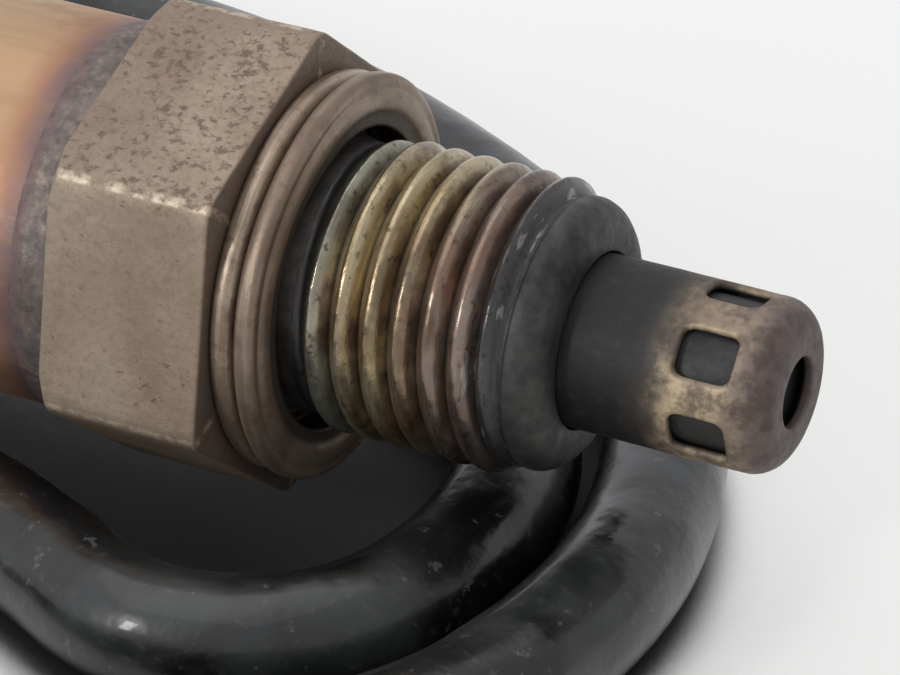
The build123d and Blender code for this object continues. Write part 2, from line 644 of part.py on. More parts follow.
# Shrink cap over the end of the cable's sleeve
with BuildPart() as cable_cap:
    with BuildSketch(across_connector(CABLE_END_X)):
        Circle(CABLE_DIAMETER / 2 + CAP_WALL)
        with Locations(*[(y, -z) for y, z in WIRE_SPOTS]):
            Circle(WIRE_R + FIT / 2, mode=Mode.SUBTRACT)
    extrude(amount=CAP_LENGTH)
    fillet(cable_cap.faces().sort_by(Axis.X)[0].edges().sort_by(SortBy.RADIUS)[-1], CAP_WALL)
save(cable_cap.part, "cable_cap")

# Wires from the cap, fanning out to the housing's cavities
with BuildPart() as connector_wires:
    for (y, z), (cavity_y, cavity_z) in zip(WIRE_SPOTS, CAVITIES):
        with BuildLine():
            wire_path = FilletPolyline(
                (CABLE_END_X, CONNECTOR_Y + y, CONNECTOR_Z + z),
                (WIRE_FAN_X, CONNECTOR_Y + y, CONNECTOR_Z + z),
                (WIRE_FAN_X - WIRE_FAN_LENGTH, CONNECTOR_Y + cavity_y, CONNECTOR_Z + cavity_z),
                (SEAL_END_X, CONNECTOR_Y + cavity_y, CONNECTOR_Z + cavity_z),
                radius=WIRE_BEND_R,
            )
        with BuildSketch(Plane(origin=wire_path @ 0, z_dir=wire_path % 0)):
            Circle(WIRE_R)
        sweep(path=wire_path)
save(connector_wires.part, "connector_wires")

# Wire seals: ribbed rubber rings in the housing's back
rib_pitch = WIRE_SEAL_LENGTH / WIRE_SEAL_RIBS
seal_bore_r = WIRE_R + FIT / 2
seal_root_r = WIRE_SEAL_R - WIRE_SEAL_RIB_DEPTH
seal_outline = [(0, seal_bore_r)]
for i in range(WIRE_SEAL_RIBS):
    seal_outline += [(i * rib_pitch, seal_root_r), ((i + 0.5) * rib_pitch, WIRE_SEAL_R - FIT)]
seal_outline += [(WIRE_SEAL_LENGTH, seal_root_r), (WIRE_SEAL_LENGTH, seal_bore_r)]
with BuildPart() as wire_seals:
    for y, z in CAVITIES:
        spot = Plane(
            origin=(SEAL_END_X, CONNECTOR_Y + y, CONNECTOR_Z + z), x_dir=(1, 0, 0), z_dir=(0, -1, 0)
        )
        with BuildSketch(spot):
            with BuildLine():
                Polyline(*seal_outline, close=True)
            make_face()
        revolve(axis=Axis(spot.origin, (1, 0, 0)))
save(wire_seals.part, "wire_seals")

# Connector housing: back, rim, block that enters the mate, and a sprung latch on top
with BuildPart() as connector_housing:
    with BuildSketch(across_connector(BACK_X)):
        RectangleRounded(*BACK_SIZE, HOUSING_CORNER_R)
    extrude(amount=BACK_LENGTH)
    with BuildSketch(across_connector(RIM_X)):
        RectangleRounded(*RIM_SIZE, HOUSING_CORNER_R)
    extrude(amount=RIM_LENGTH)
    with BuildSketch(across_connector(BLOCK_X)):
        RectangleRounded(*BLOCK_SIZE, HOUSING_CORNER_R)
    extrude(amount=BLOCK_LENGTH)
    with BuildSketch(across_connector(BACK_X)):
        with Locations(*cavity_spots()):
            Circle(WIRE_SEAL_R)
    extrude(amount=WIRE_SEAL_LENGTH, mode=Mode.SUBTRACT)
    with BuildSketch(across_connector(SEAL_END_X)):
        with Locations(*cavity_spots()):
            Rectangle(CAVITY_SIZE, CAVITY_SIZE)
    extrude(amount=SEAL_END_X - BLOCK_END_X, mode=Mode.SUBTRACT)
    latch_bottom = CONNECTOR_Z + BACK_SIZE[1] / 2 + LATCH_RISE
    latch_top = latch_bottom + LATCH_THICKNESS
    latch_root = CONNECTOR_Z + BLOCK_SIZE[1] / 2 + LATCH_RISE  # clear of the face seal
    catch_x = BLOCK_X - LATCH_REACH
    latch_plane = Plane(
        origin=(0, CONNECTOR_Y + LATCH_WIDTH / 2, 0), x_dir=(1, 0, 0), z_dir=(0, -1, 0)
    )
    with BuildSketch(latch_plane):
        with BuildLine():
            Polyline(
                (BLOCK_X + RIM_LENGTH / 2, latch_root),
                (BLOCK_X + RIM_LENGTH / 2, latch_bottom),
                (BACK_X - LATCH_SETBACK, latch_bottom),
                (BACK_X - LATCH_SETBACK, latch_top),
                (catch_x - LATCH_CATCH, latch_top),
                (catch_x - LATCH_CATCH - LATCH_RAMP, latch_bottom - LATCH_CATCH_DEPTH),
                (catch_x, latch_bottom - LATCH_CATCH_DEPTH),
                (catch_x, latch_bottom),
                (BLOCK_X - LATCH_ROOT_LENGTH, latch_bottom),
                (BLOCK_X - LATCH_ROOT_LENGTH, latch_root),
                close=True,
            )
        make_face()
    extrude(amount=LATCH_WIDTH)
save(connector_housing.part, "connector_housing")

# Face seal: a ribbed rubber band around the block, against the rim
seal_inner = (BLOCK_SIZE[0] + 2 * FIT, BLOCK_SIZE[1] + 2 * FIT)
seal_outer = (BLOCK_SIZE[0] + 2 * FACE_SEAL_THICKNESS, BLOCK_SIZE[1] + 2 * FACE_SEAL_THICKNESS)
with BuildPart() as face_seal:
    with BuildSketch(across_connector(BLOCK_X)):
        RectangleRounded(*seal_outer, HOUSING_CORNER_R + FACE_SEAL_THICKNESS)
        RectangleRounded(*seal_inner, HOUSING_CORNER_R + FIT, mode=Mode.SUBTRACT)
    extrude(amount=FACE_SEAL_WIDTH)
    rims = face_seal.faces().sort_by(Axis.X)[0].outer_wire().edges()
    rims += face_seal.faces().sort_by(Axis.X)[-1].outer_wire().edges()
    fillet(rims, FACE_SEAL_ROUND)
save(face_seal.part, "face_seal")

# Front lock: a cap over the block's end with a hole in front of each terminal
lock_hole = TERMINAL_SIZE - LOCK_HOLE_STEP
with BuildPart() as front_lock:
    with BuildSketch(across_connector(BLOCK_END_X)):
        RectangleRounded(BLOCK_SIZE[0] - FIT, BLOCK_SIZE[1] - FIT, HOUSING_CORNER_R)
        with Locations(*cavity_spots()):
            Rectangle(lock_hole, lock_hole, mode=Mode.SUBTRACT)
    extrude(amount=LOCK_CAP)
    chamfer(front_lock.faces().sort_by(Axis.X)[0].outer_wire().edges(), LOCK_CHAMFER)
save(front_lock.part, "front_lock")

# Female terminals: box springs in the cavities, behind the front lock
terminal_bore = TERMINAL_SIZE - 2 * TERMINAL_WALL
with BuildPart() as connector_terminals:
    with BuildSketch(across_connector(BLOCK_END_X + TERMINAL_LENGTH)):
        with Locations(*cavity_spots()):
            Rectangle(TERMINAL_SIZE, TERMINAL_SIZE)
            Rectangle(terminal_bore, terminal_bore, mode=Mode.SUBTRACT)
    extrude(amount=TERMINAL_LENGTH - FIT)
save(connector_terminals.part, "connector_terminals")
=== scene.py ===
from math import cos, pi, radians, sin, sqrt, tan

import bmesh
import bpy
import numpy as np
from mathutils import Matrix, Vector, noise


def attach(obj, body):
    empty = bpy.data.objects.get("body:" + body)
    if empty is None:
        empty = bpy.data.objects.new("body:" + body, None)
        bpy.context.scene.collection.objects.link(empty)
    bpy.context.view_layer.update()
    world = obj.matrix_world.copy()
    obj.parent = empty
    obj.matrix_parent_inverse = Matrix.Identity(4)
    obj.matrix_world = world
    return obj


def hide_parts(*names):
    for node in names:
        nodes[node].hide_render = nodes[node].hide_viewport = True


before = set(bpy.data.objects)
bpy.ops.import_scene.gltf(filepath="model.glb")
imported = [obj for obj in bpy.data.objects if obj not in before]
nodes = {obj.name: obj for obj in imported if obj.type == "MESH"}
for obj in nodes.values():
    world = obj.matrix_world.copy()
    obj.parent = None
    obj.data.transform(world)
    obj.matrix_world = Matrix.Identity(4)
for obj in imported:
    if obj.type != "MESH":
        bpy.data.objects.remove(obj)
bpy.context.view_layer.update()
MM = 0.001

# ---------------------------------------------------------------- camera, fitted to the photo's thread and hexagon
FOCAL_LENGTH = 198.9  # mm, on a sensor 36 mm wide
SHIFT_Y = -0.0417
CAMERA_PLACE = (0.08185, -0.14841, 0.09740)
CAMERA_RIGHT = (0.8913, 0.4535, 0.0)
CAMERA_BACK = (0.3916, -0.7696, 0.5043)

scene = bpy.context.scene
scene.view_settings.view_transform = "Standard"
cam = bpy.data.cameras.new("camera")
cam.sensor_width = 36.0
cam.sensor_fit = "HORIZONTAL"
cam.lens = FOCAL_LENGTH
cam.shift_y = SHIFT_Y
cam.clip_start = 0.01
cam.clip_end = 10.0
camera = bpy.data.objects.new("camera", cam)
scene.collection.objects.link(camera)
right = Vector(CAMERA_RIGHT).normalized()
back = Vector(CAMERA_BACK).normalized()
up = back.cross(right).normalized()
right = up.cross(back).normalized()
look = Matrix((right, up, back)).transposed().to_4x4()
camera.matrix_world = Matrix.Translation(CAMERA_PLACE) @ look
scene.camera = camera

# ---------------------------------------------------------------- sizes repeated from the CAD, mm
# X runs along the sensor's axis to the tip, from 0 in the hexagon's front face.
THREAD_R = 5.95
PITCH = 1.25
RELIEF_R = 5.45
HEX_FLAT_R = 8.5
HEX_CORNER_R = HEX_FLAT_R / cos(radians(30))
HEX_ROLL = -9.9  # degrees, of a corner from +Z towards -Y
HEX_LENGTH = 6.95
COLLAR_R = 8.05
COLLAR_REAR = -8.8
FRONT_BORE_R = 3.4
MAIN_BORE_R = 4.5
REAR_BORE_R = 5.6
MAIN_BORE_FRONT_X = 3.5
REAR_BORE_FRONT_X = -6.0
CABLE_D = 5.4
CABLE_CLEARANCE = 0.9  # between the thread and the strands under it
FLOOR_Z = -(THREAD_R + CABLE_CLEARANCE + CABLE_D)
LYING = FLOOR_Z + CABLE_D / 2  # height of a lying strand's centre line


# ---------------------------------------------------------------- mesh helpers
def add_object(name, mesh):
    """Links a mesh into the scene as a piece."""
    obj = bpy.data.objects.new(name, mesh)
    scene.collection.objects.link(obj)
    return obj


def around(x, r, roll):
    """Points at x and radius r about the sensor's axis; roll runs from +Z towards -Y, in radians."""
    x, r, roll = np.broadcast_arrays(x, r, roll)
    return np.stack([x, -r * np.sin(roll), r * np.cos(roll)], axis=-1)


def grid_piece(name, *grids, weld=2e-6):
    """A smooth-shaded mesh from grids of points in mm; doubled points are welded away."""
    points, faces = [], []
    for grid in grids:
        rows, cols, _ = grid.shape
        index = np.arange(rows * cols).reshape(rows, cols) + len(points)
        corners = (index[:-1, :-1], index[:-1, 1:], index[1:, 1:], index[1:, :-1])
        faces += np.stack(corners, axis=-1).reshape(-1, 4).tolist()
        points += (grid.reshape(-1, 3) * MM).tolist()
    mesh = bpy.data.meshes.new(name)
    mesh.from_pydata(points, [], faces)
    bm = bmesh.new()
    bm.from_mesh(mesh)
    bmesh.ops.remove_doubles(bm, verts=bm.verts, dist=weld)
    bmesh.ops.dissolve_degenerate(bm, edges=bm.edges, dist=weld / 2)
    bmesh.ops.recalc_face_normals(bm, faces=bm.faces)
    for f in bm.faces:
        f.smooth = True
    bm.to_mesh(mesh)
    bm.free()
    return add_object(name, mesh)


def sharpen(obj, angle):
    """Marks the edges sharper than angle, in degrees, so that they shade as edges."""
    bm = bmesh.new()
    bm.from_mesh(obj.data)
    for e in bm.edges:
        if len(e.link_faces) == 2 and e.calc_face_angle(0) > radians(angle):
            e.smooth = False
    bm.to_mesh(obj.data)
    bm.free()


def rough(points, size, seed):
    """Smooth noise, about -1 to 1, at points in mm, with features of about size mm."""
    flat = points.reshape(-1, 3)
    shift = Vector((seed * 17.3, seed * 5.1, -seed * 9.7))
    values = [noise.noise(Vector(p) / size + shift) for p in flat.tolist()]
    return np.array(values).reshape(points.shape[:-1])


def push_out(points, amount):
    """Points moved away from the sensor's axis by amount, in mm."""
    radius = np.hypot(points[..., 1], points[..., 2])
    scale = np.where(radius > 1e-6, 1 + amount / np.maximum(radius, 1e-6), 1)
    moved = points.copy()
    moved[..., 1] *= scale
    moved[..., 2] *= scale
    return moved


def rounded_profile(points, radius, steps=5):
    """The (x, r) polyline with each inner corner replaced by an arc-like curve of that reach."""
    out = [points[0]]
    for i in range(1, len(points) - 1):
        before, at, after = (np.array(p, float) for p in points[i - 1:i + 2])
        reach = min(radius, 0.45 * np.linalg.norm(at - before), 0.45 * np.linalg.norm(after - at))
        start = at + (before - at) / np.linalg.norm(before - at) * reach
        end = at + (after - at) / np.linalg.norm(after - at) * reach
        for k in range(steps + 1):
            t = k / steps
            out.append(tuple((1 - t) ** 2 * start + 2 * t * (1 - t) * at + t ** 2 * end))
    return out + [points[-1]]


def spaced(points, step):
    """The (x, r) polyline with its long runs divided, so that no run is over step."""
    out = [points[0]]
    for p, q in zip(points, points[1:]):
        n = max(1, int(np.ceil(np.hypot(q[0] - p[0], q[1] - p[1]) / step)))
        out += [(p[0] + (q[0] - p[0]) * k / n, p[1] + (q[1] - p[1]) * k / n) for k in range(1, n + 1)]
    return out


# ---------------------------------------------------------------- cable
# The CAD's route, in mm. Its 13th to 15th points are moved by 0.4 to 0.7 mm, to follow the photo.
ROUTE = [
    (-46, 0, 0), (-58, 0, 0), (-74, 0, -1.2), (-95.6, 0.2, -4.4), (-105, 6.9, -6.9),
    (-108.8, 17.8, -8.8), (-105, 28.7, LYING), (-95.2, 35.3, LYING), (-72, 35.2, LYING),
    (-50, 33.7, LYING), (-29, 30.9, LYING), (-13.8, 28.2, LYING), (-1.8, 22.4, LYING),
    (7.7, 15.1, LYING), (12.9, 7.2, LYING), (15.1, -4.2, LYING), (11.5, -17.2, LYING),
    (-1.6, -24.2, LYING), (-15.4, -23.6, LYING), (-28.5, -22.3, LYING), (-40.5, -21.9, LYING),
    (-53.6, -20.2, LYING), (-63.8, -9.9, LYING), (-63.6, 6, LYING), (-53, 17.4, LYING),
    (-38, 17.4, LYING), (-28, 15, LYING), (-17.5, 14.8, LYING), (-7.8, 13.9, LYING), (1, 11.5, LYING),
    (6.9, 6.2, LYING), (8.9, -2, LYING), (6.9, -10.3, LYING), (-0.2, -13.6, LYING),
    (-7.4, -9.6, LYING), (-15, -7.2, LYING), (-23, -7.9, LYING + 0.8), (-33.5, -10.2, LYING + 3.9),
    (-44.5, -13.6, LYING + 6.6), (-56, -17.4, LYING + 6.6), (-66.2, -19.2, LYING + 4.3),
    (-76, -19.2, LYING + 4.3),
]
CABLE_SEGMENTS = 36
line = bpy.data.curves.new("cable_line", "CURVE")
line.dimensions = "3D"
line.resolution_u = 16
spline = line.splines.new("NURBS")
spline.points.add(len(ROUTE) - 1)
for point, (x, y, z) in zip(spline.points, ROUTE):
    point.co = (x * MM, y * MM, z * MM, 1.0)
spline.order_u = 3
spline.use_endpoint_u = True
line_object = bpy.data.objects.new("cable_line", line)
scene.collection.objects.link(line_object)
bpy.context.view_layer.update()
centre_mesh = bpy.data.meshes.new_from_object(
    line_object.evaluated_get(bpy.context.evaluated_depsgraph_get())
)
centre = np.array([v.co for v in centre_mesh.vertices], float)
bpy.data.objects.remove(line_object)
if np.linalg.norm(centre[0] - np.array(ROUTE[0]) * MM) > 1e-4:
    centre = centre[::-1]


def tube(path, radius, segments):
    """The grid, in mm, of a closed tube along path; path and what radius(i, angle) gives are in metres."""
    tangents = np.gradient(path, axis=0)
    tangents /= np.linalg.norm(tangents, axis=1, keepdims=True)
    across = np.cross(tangents, (0, 0, 1.0))
    across /= np.linalg.norm(across, axis=1, keepdims=True)
    upward = np.cross(across, tangents)
    angle = np.linspace(0, 2 * pi, segments + 1)
    rings = []
    for i, place in enumerate(path):
        outward = np.cos(angle)[:, None] * across[i] + np.sin(angle)[:, None] * upward[i]
        rings.append(place + radius(i, angle)[:, None] * outward)
    first, last = np.repeat(path[:1], segments + 1, 0), np.repeat(path[-1:], segments + 1, 0)
    return np.stack([first] + rings + [last]) / MM


cable_run = np.concatenate([[0], np.cumsum(np.linalg.norm(np.diff(centre, axis=0), axis=1))])


def cable_radius(i, angle):
    """Radii of ring i. The sleeve is a little uneven, as soft tubing over four wires is."""
    run = np.full_like(angle, cable_run[i] / MM)
    places = np.stack([run, 3 * np.cos(angle), 3 * np.sin(angle)], axis=-1)
    wave = np.array([
        noise.noise(Vector(p) / 7.0) + 0.6 * noise.noise(Vector(p) / 2.6) + 0.25 * noise.noise(Vector(p) / 1.1)
        for p in places.tolist()
    ])
    wave[-1] = wave[0]
    return (CABLE_D / 2 - 0.06 + 0.05 * wave) * MM


cable = grid_piece("cable_sleeve", tube(centre, cable_radius, CABLE_SEGMENTS))
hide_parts("cable")
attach(cable, "root")

# ---------------------------------------------------------------- shell: hexagon, relief, thread, nose
CREST_X = 3.19 - 90 / 360 * PITCH  # a crest's X at roll 0, read off the photo at roll 90
THREAD_FROM, THREAD_TO = 1.95, 11.0
ROOT_R = 5.26
END_R = 5.2  # of the stem where the thread has run out
EDGE_R = 0.16  # the hexagon's front edge, worn round
FOOT_R = 0.35  # the fillet between the hexagon and the relief

# Columns of the grid round the axis in degrees: closer together at the hexagon's six corners.
sector = np.concatenate([
    np.linspace(-30, -8, 10, endpoint=False), np.linspace(-8, -2.4, 5, endpoint=False),
    np.linspace(-2.4, 2.4, 13), np.linspace(8, 2.4, 5, endpoint=False)[::-1],
    np.linspace(30, 8, 10, endpoint=False)[::-1][:-1],
])
corners = np.concatenate([sector + 60 * k for k in range(6)]) + HEX_ROLL
rolls = np.radians(np.append(corners, corners[0] + 360))
ones = np.ones(len(rolls))


def hexagon_radius(roll, corner=0.16, blend=0.07):
    """Radius of a hexagon with its corners worn down by about corner, in mm."""
    off = np.abs((np.degrees(roll) - HEX_ROLL + 30) % 60 - 30)
    flat = HEX_FLAT_R / np.cos(np.radians(30 - off))
    worn = HEX_CORNER_R - corner
    return worn - blend * np.log(1 + np.exp((worn - flat) / blend))


def shell_rows():
    """Rows of (x, r) arrays, one value per column, from the collar's rear over the hexagon to the relief."""
    hexagon = hexagon_radius(rolls)
    rows = [(COLLAR_REAR * ones, REAR_BORE_R * ones), (COLLAR_REAR * ones, 7.7 * ones)]
    # the welded collar's rounded bead
    bead_x, bead_half, bead_height = -7.9, 1.05, 0.16
    for x in np.linspace(-8.75, -7.0, 15):
        bulge = bead_height * sqrt(max(0.0, 1 - ((x - bead_x) / bead_half) ** 2)) - bead_height / 2
        rows.append((x * ones, (COLLAR_R - 0.02 + bulge) * ones))
    # the hexagon's rear face and its 30 degree chamfer, which meets the flats in a soft edge
    cone_slope = 1 / tan(radians(30))
    cone_start = HEX_CORNER_R - 0.35 * cone_slope
    for r in (8.15, 8.35):
        rows.append((-HEX_LENGTH * ones, r * ones))
    rows.append((-HEX_LENGTH * ones, np.minimum(hexagon, cone_start) - 0.03))
    soft, base = 0.05, 8
    for x in np.linspace(0.015, 0.55, 18):
        cone = cone_start + x * cone_slope
        r = -soft * np.log(np.exp(-(hexagon - base) / soft) + np.exp(-(cone - base) / soft)) + base
        rows.append(((-HEX_LENGTH + x) * ones, r))
    for x in np.linspace(-6.2, -0.3, 24):
        rows.append((x * ones, hexagon))
    # its front edge and front face
    for k in range(6):
        a = radians(90 * k / 5)
        rows.append(((-EDGE_R + EDGE_R * sin(a)) * ones, hexagon - EDGE_R + EDGE_R * cos(a)))
    for t in (0.25, 0.5, 0.8, 1.0):
        rows.append((0 * ones, (hexagon - EDGE_R) * (1 - t) + (RELIEF_R + FOOT_R) * t))
    # the relief: a fillet, then a low turned ridge
    for k in range(1, 6):
        a = radians(90 * k / 5)
        rows.append(((FOOT_R - FOOT_R * cos(a)) * ones, (RELIEF_R + FOOT_R - FOOT_R * sin(a)) * ones))
    ridge_x, ridge_half, ridge_height = 1.2, 0.16, 0.12
    for x in np.linspace(0.5, 1.85, 13):
        ridge = ridge_height * np.exp(-(((x - ridge_x) / ridge_half) ** 2))
        rows.append((x * ones, (RELIEF_R + ridge) * ones))
    return rows


def thread_height(u):
    """Height of the thread, 0 at the root and 1 at the crest, u in pitches from a crest: a worn, rounded form."""
    from_crest = np.abs((u + 0.5) % 1 - 0.5)
    return np.clip(1 - (2.08 * from_crest) ** 1.9, 0, 1)


def thread_rows():
    """Rows that wind with the thread, held at its two ends, so that those past an end lie on each other."""
    phase = rolls / (2 * pi) * PITCH
    first = int(np.floor((THREAD_FROM - phase.max()) / PITCH)) - 2
    last = int(np.ceil((THREAD_TO - phase.min()) / PITCH)) + 1
    steps = np.array([
        -0.5, -0.43, -0.385, -0.34, -0.28, -0.21, -0.14, -0.095, -0.06,
        0, 0.06, 0.095, 0.14, 0.21, 0.28, 0.34, 0.385, 0.43,
    ])
    xs = np.array([
        np.clip(CREST_X + (k + u) * PITCH + phase, THREAD_FROM, THREAD_TO)
        for k in range(first, last + 1) for u in steps
    ])
    height = thread_height((xs - CREST_X - phase[None, :]) / PITCH)
    root = np.interp(
        xs, [THREAD_FROM, 2.5, 2.9, 10.3, 10.8, THREAD_TO], [RELIEF_R, 5.36, ROOT_R, ROOT_R, END_R, END_R]
    )
    crest_r = THREAD_R - 0.03
    crest = np.interp(
        xs, [THREAD_FROM, 2.35, 2.75, 3.1, 10.35, 10.8, THREAD_TO],
        [RELIEF_R, RELIEF_R, 5.62, crest_r, crest_r, 5.35, END_R],
    )
    r = root + (np.maximum(crest, root) - root) * height
    return list(zip(xs, r))


def nose_rows():
    """Rows from the thread's end over the nose's rolled lip, then back through the bore to the collar's rear."""
    profile = spaced(rounded_profile([
        (THREAD_TO, END_R), (11.08, END_R), (11.2, 5.42), (11.55, 5.42), (11.95, 5.26), (12.3, 4.9), (12.52, 4.4),
        (12.6, 3.9), (12.58, 3.52), (12.4, 3.5), (12.06, 3.5),
    ], 0.2), 0.12)
    rows = [(x * ones, r * ones) for x, r in profile]
    bore = [
        (12.05, 4.7), (11.3, 4.7), (11.28, FRONT_BORE_R), (4.6, FRONT_BORE_R), (MAIN_BORE_FRONT_X, MAIN_BORE_R),
        (REAR_BORE_FRONT_X, MAIN_BORE_R), (REAR_BORE_FRONT_X, REAR_BORE_R), (COLLAR_REAR, REAR_BORE_R),
    ]
    return rows + [(x * ones, r * ones) for x, r in bore]


all_rows = shell_rows() + thread_rows() + nose_rows()
shell_grid = around(np.array([x for x, _ in all_rows]), np.array([r for _, r in all_rows]), rolls[None, :])
bumps = 0.012 * rough(shell_grid, 0.9, 1) + 0.008 * rough(shell_grid, 0.35, 2)
weld_zone = np.clip((-shell_grid[..., 0] - HEX_LENGTH) * 4, 0, 1)
bumps += weld_zone * (0.045 * rough(shell_grid, 0.55, 3) + 0.03 * rough(shell_grid, 0.25, 4))
# the bore and the rim that closes the grid stay true
radius = np.hypot(shell_grid[..., 1], shell_grid[..., 2])
bumps[radius < FRONT_BORE_R + 0.2] = 0
bumps[(radius < REAR_BORE_R + 0.1) & (shell_grid[..., 0] < COLLAR_REAR + 0.1)] = 0
shell = grid_piece("shell", push_out(shell_grid, bumps))
sharpen(shell, 50)
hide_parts("hex_shell")
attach(shell, "root")

# ---------------------------------------------------------------- gasket: one strip in four layers
STRIP_THICKNESS = 0.4
FOLD_REACH = 0.25
strip = [np.array(p) for p in rounded_profile([
    (0.21, 6.2), (0.21, 7.85), (0.76, 7.85), (0.76, 6.96), (1.31, 6.96), (1.31, 7.99), (1.86, 7.99), (1.79, 7.62),
    (1.98, 7.32), (1.97, 6.98), (1.8, 6.66), (1.76, 6.12),
], FOLD_REACH, 7)]
strip = np.array([strip[0]] + [q for p, q in zip(strip, strip[1:]) if np.linalg.norm(q - p) > 0.01])
heading = np.gradient(strip, axis=0)
heading /= np.linalg.norm(heading, axis=1, keepdims=True)
side = np.stack([-heading[:, 1], heading[:, 0]], axis=1) * (STRIP_THICKNESS / 2)
outline = np.concatenate([strip + side, (strip - side)[::-1]])
outline = np.array(spaced([tuple(p) for p in np.vstack([outline, outline[:1]])], 0.14))
gasket_rolls = np.linspace(0, 2 * pi, 193)
gasket_grid = around(outline[:, :1], outline[:, 1:], gasket_rolls[None, :])
wave = 0.035 * rough(gasket_grid, 4.0, 6) + 0.012 * rough(gasket_grid, 0.8, 7)
wave[:, -1] = wave[:, 0]
gasket_grid = push_out(gasket_grid, wave)
# the layers sway more the further they are from the hexagon
sway = 0.03 * np.sin(3 * gasket_rolls + 1) + 0.02 * np.sin(5 * gasket_rolls)
gasket_grid[..., 0] += sway[None, :] * np.clip(gasket_grid[..., 0] / 2, 0, 1)
gasket = grid_piece("gasket", gasket_grid)
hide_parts("seat_gasket")
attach(gasket, "root")

# ---------------------------------------------------------------- protector: drawn tube, six rolled windows
TUBE_R = 3.45
TUBE_WALL = 0.4
TUBE_BORE_R = 3.05
FLANGE_R = 4.68
FLANGE_X = 11.6  # where the outer tube's flange lies on the inner one's
DOME_X, DOME_CENTRE_R = 19.75, 2.15
DOME_SIZE, DOME_BORE_SIZE = 1.3, 0.9  # radii of the dome's outer and inner arcs
LIP_R = 1.52  # to the middle of the end hole's rolled lip
BAND = (16.8, 19.7)  # the stretch of tube that the windows are in
WINDOWS = 6
WINDOW_X, WINDOW_ROLL = 18.3, 48.5
WINDOW_HALF = (1.15, 1.015)
WINDOW_CORNER_R = 0.45
tube_rolls = np.radians(np.linspace(0, 360, 145) + WINDOW_ROLL - 30)


def arc_points(x, r, size, start, end, steps=7):
    """Points on an arc about (x, r), with angles from +X towards +R, in degrees."""
    return [(x + size * cos(radians(a)), r + size * sin(radians(a))) for a in np.linspace(start, end, steps)]


rear_profile = spaced(
    [(BAND[0], TUBE_BORE_R), (FLANGE_X, TUBE_BORE_R), (FLANGE_X, FLANGE_R), (12.0, FLANGE_R)]
    + arc_points(12.3, 3.75, 0.3, 180, 270, 6) + [(BAND[0], TUBE_R)],
    0.3,
)
front_profile = spaced(
    [(BAND[1], TUBE_R)] + arc_points(DOME_X, DOME_CENTRE_R, DOME_SIZE, 90, 0, 12)
    + arc_points(20.93, LIP_R, 0.12, 0, -90, 5) + arc_points(20.77, LIP_R, 0.12, -90, -180, 5)
    + arc_points(DOME_X, DOME_CENTRE_R, DOME_BORE_SIZE, 0, 90, 10) + [(BAND[1], TUBE_BORE_R)],
    0.25,
)
grids = []
for profile in (rear_profile, front_profile):
    xr = np.array(profile)
    grids.append(around(xr[:, :1], xr[:, 1:], tube_rolls[None, :]))
# The band between the two profiles is six panels. In each, rings run from the window's rounded outline to the
# panel's edge.
half_x, half_v = (BAND[1] - BAND[0]) / 2, TUBE_R * pi / WINDOWS
ends = np.linspace(-1, 1, 25)
sides = np.linspace(-1, 1, 13)
loop = np.array(
    [(-1, v) for v in ends] + [(u, 1) for u in sides[1:]] + [(1, v) for v in ends[::-1][1:]]
    + [(u, -1) for u in sides[::-1][1:]]
)
window = loop * WINDOW_HALF
core_half = np.array(WINDOW_HALF) - WINDOW_CORNER_R
core = np.clip(window, -core_half, core_half)
away = window - core
window = core + WINDOW_CORNER_R * away / np.linalg.norm(away, axis=1, keepdims=True)
window[:, 0] += WINDOW_X
frame_edge = loop * (half_x, half_v)
frame_edge[:, 0] += sum(BAND) / 2
reach = np.array([1, 0.75, 0.55, 0.4, 0.29, 0.21, 0.15, 0.1, 0.065, 0.035, 0.012, 0])
rings = window[None] + (frame_edge - window)[None] * reach[:, None, None]
gap = np.linalg.norm(rings - window[None], axis=2)
bow = TUBE_WALL / 2 * np.sqrt(1 - (1 - np.clip(gap / 0.2, 0, 1)) ** 2)  # the window's rim is rounded
middle = TUBE_R - TUBE_WALL / 2
for k in range(WINDOWS):
    roll = radians(WINDOW_ROLL + 60 * k)
    outer = around(rings[..., 0], middle + bow, rings[..., 1] / TUBE_R + roll)
    inner = around(rings[..., 0], middle - bow, rings[..., 1] / TUBE_R + roll)
    grids.append(np.concatenate([outer, inner[::-1][1:]]))
for grid in grids:
    grid[:] = push_out(grid, 0.02 * rough(grid, 1.6, 8) + 0.008 * rough(grid, 0.4, 9))
protector = grid_piece("protector", *grids, weld=8e-6)
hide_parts("outer_protector")
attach(protector, "root")

# ---------------------------------------------------------------- inner protector, seen behind the windows
INNER_R, INNER_BORE_R = 2.97, 2.67
INNER_REAR_X = 11.3
INNER_DOME_X, INNER_DOME_CENTRE_R = 19.5, 2.22
inner_profile = spaced(
    [(INNER_REAR_X, INNER_BORE_R), (INNER_REAR_X, FLANGE_R), (FLANGE_X, FLANGE_R), (FLANGE_X, INNER_R)]
    + arc_points(INNER_DOME_X, INNER_DOME_CENTRE_R, 0.75, 90, 0, 9) + [(20.25, 0.55), (20.0, 0.5), (19.95, 2.22)]
    + arc_points(INNER_DOME_X, INNER_DOME_CENTRE_R, 0.45, 0, 90) + [(INNER_REAR_X, INNER_BORE_R)],
    0.6,
)
xr = np.array(inner_profile)
inner_tube = grid_piece("inner_tube", around(xr[:, :1], xr[:, 1:], tube_rolls[None, ::2]))
sharpen(inner_tube, 50)
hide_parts("inner_protector")
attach(inner_tube, "root")

# ---------------------------------------------------------------- materials
def srgb(r, g, b):
    """A colour as a screen shows it, 0 to 255, in linear light."""
    values = [c / 255 for c in (r, g, b)]
    return tuple(c / 12.92 if c <= 0.04045 else ((c + 0.055) / 1.055) ** 2.4 for c in values) + (1,)


